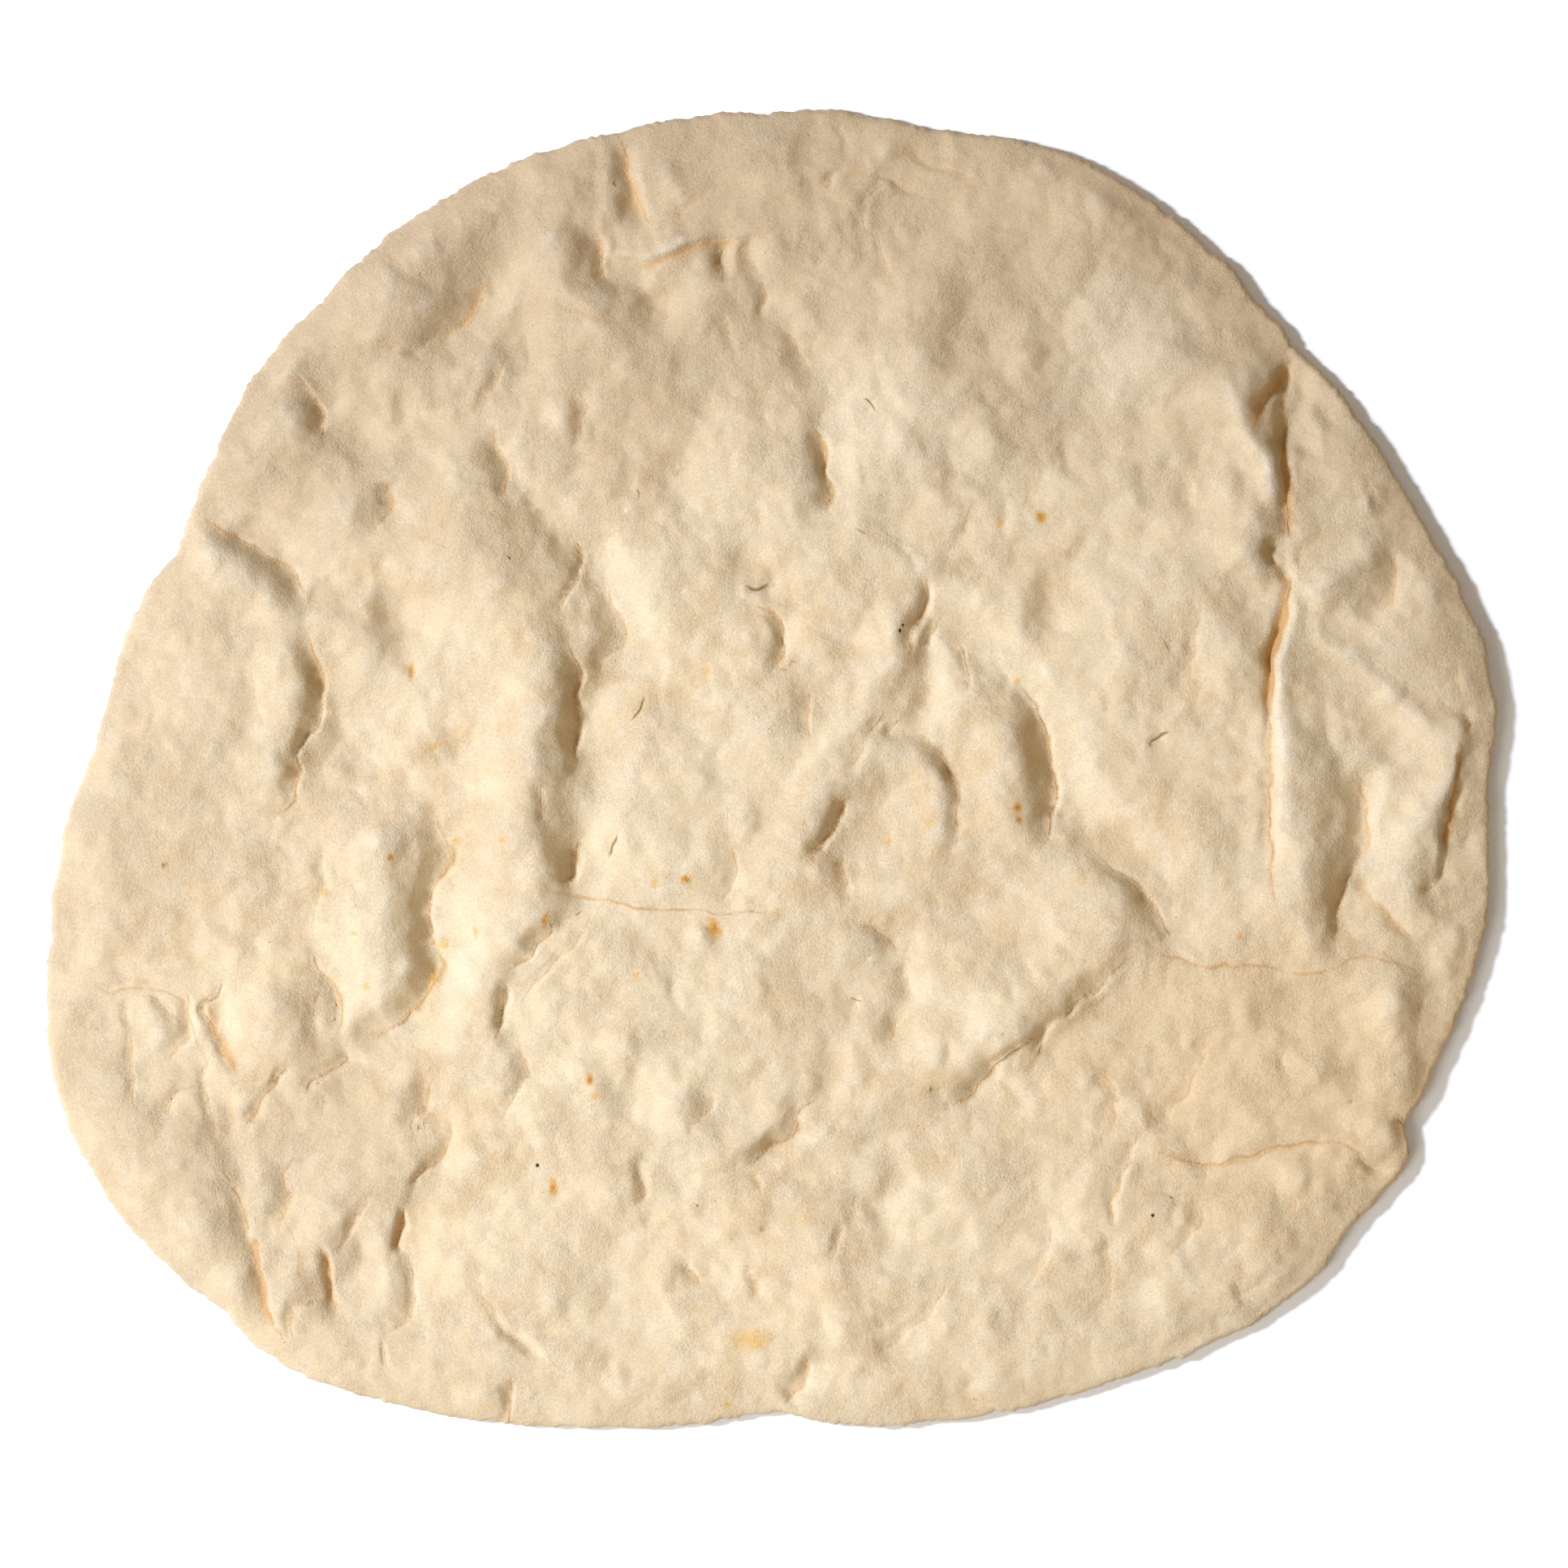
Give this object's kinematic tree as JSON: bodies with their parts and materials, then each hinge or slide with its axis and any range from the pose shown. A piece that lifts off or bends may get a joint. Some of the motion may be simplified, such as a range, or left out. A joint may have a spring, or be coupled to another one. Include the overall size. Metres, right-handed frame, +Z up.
{
  "type": "pizza base",
  "caption": "Flat, uneven round of pale par-baked dough with low bubbles, folds and a rounded edge, lying on its flat underside.",
  "frame": {"origin": "on the flat underside, below the middle of the outline's box", "axes": "+Z up out of the lumpy top; +Y towards the far edge in the picture, opposite the flatter near edge; +X to the right in the picture, towards the edge with the fold's notch"},
  "size_m": [0.3198, 0.2905, 0.0105],
  "materials": {
    "dough": "matte"
  },
  "bodies": {
    "root": {"pizza_base": "dough"}
  },
  "joints": []
}
